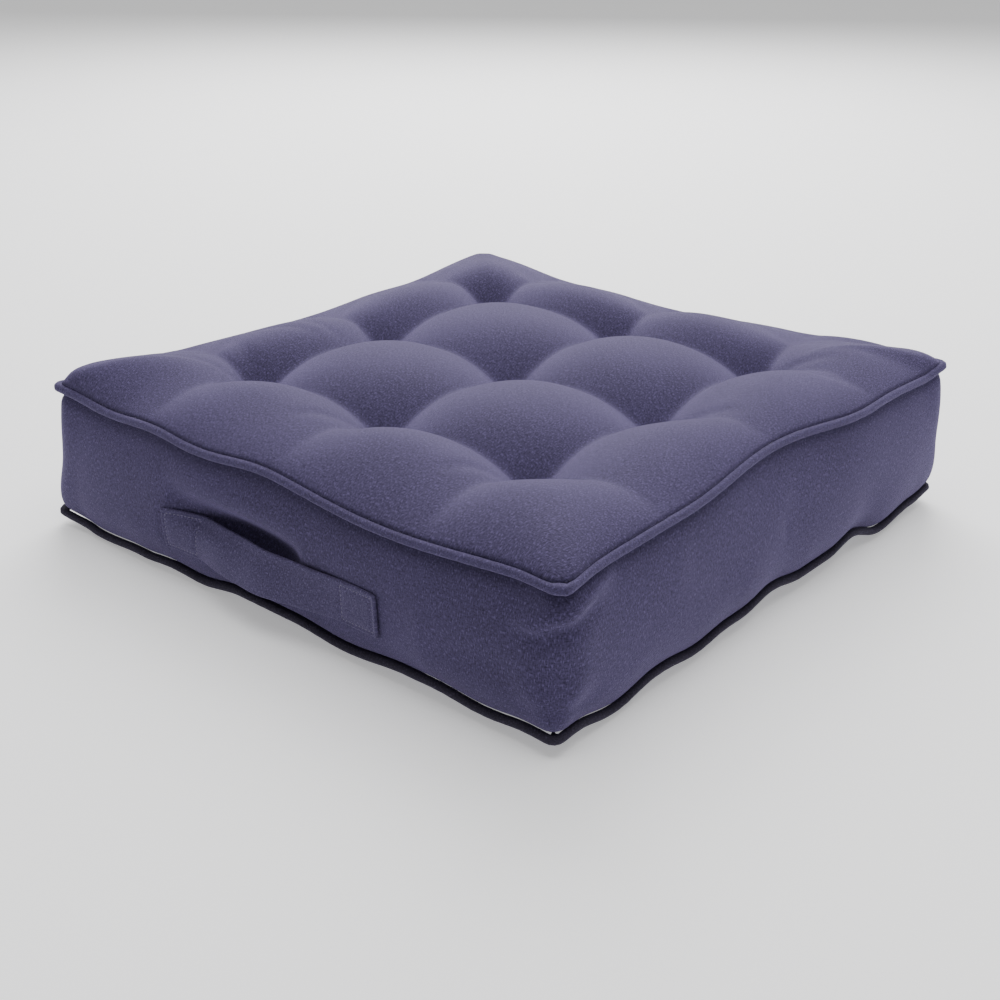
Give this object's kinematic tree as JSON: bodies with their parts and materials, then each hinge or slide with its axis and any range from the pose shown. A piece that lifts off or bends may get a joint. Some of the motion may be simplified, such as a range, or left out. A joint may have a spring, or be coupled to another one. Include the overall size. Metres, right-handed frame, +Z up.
{
  "type": "floor cushion",
  "caption": "Square box-edge floor cushion with thread-tufted panels, piped seams and a cloth carry handle sewn low on one side.",
  "frame": {"origin": "on the floor, in the middle of the cushion's whole length and width with its handle", "axes": "+Z up out of the tufted top; -Y out of the side with the carry handle; +X to the right of someone who faces that side"},
  "size_m": [0.528, 0.5426, 0.145],
  "materials": {
    "canvas": "dusky navy woven cotton canvas, matt with a faint pale fleck",
    "piping_canvas": "the same canvas cut on the bias and folded over a cord",
    "strap_canvas": "the same canvas folded into a flat strap, paler on its folded edges",
    "thread": "waxed polyester thread in navy",
    "piping_cord": "twisted cotton cord, undyed",
    "fibre": "white polyester fibre"
  },
  "bodies": {
    "cushion": {"top_panel": "canvas", "bottom_panel": "canvas", "boxing_front_and_sides": "canvas", "boxing_rear": "canvas", "top_piping_cover": "piping_canvas", "top_piping_cord": "piping_cord", "bottom_piping_cover": "piping_canvas", "bottom_piping_cord": "piping_cord", "fibre_filling": "fibre", "tuft_tie_1": "thread", "tuft_tie_2": "thread", "tuft_tie_3": "thread", "tuft_tie_4": "thread", "tuft_tie_5": "thread", "tuft_tie_6": "thread", "tuft_tie_7": "thread", "tuft_tie_8": "thread", "tuft_tie_9": "thread", "handle_left_end": "strap_canvas", "handle_right_end": "strap_canvas", "handle_left_stitching": "thread", "handle_right_stitching": "thread"},
    "handle": {"handle_loop": "strap_canvas"}
  },
  "joints": [
    {"name": "handle_pull", "type": "slide", "parent": "cushion", "child": "handle", "axis": [0, -1, 0], "range_m": [0, 0.015]}
  ]
}
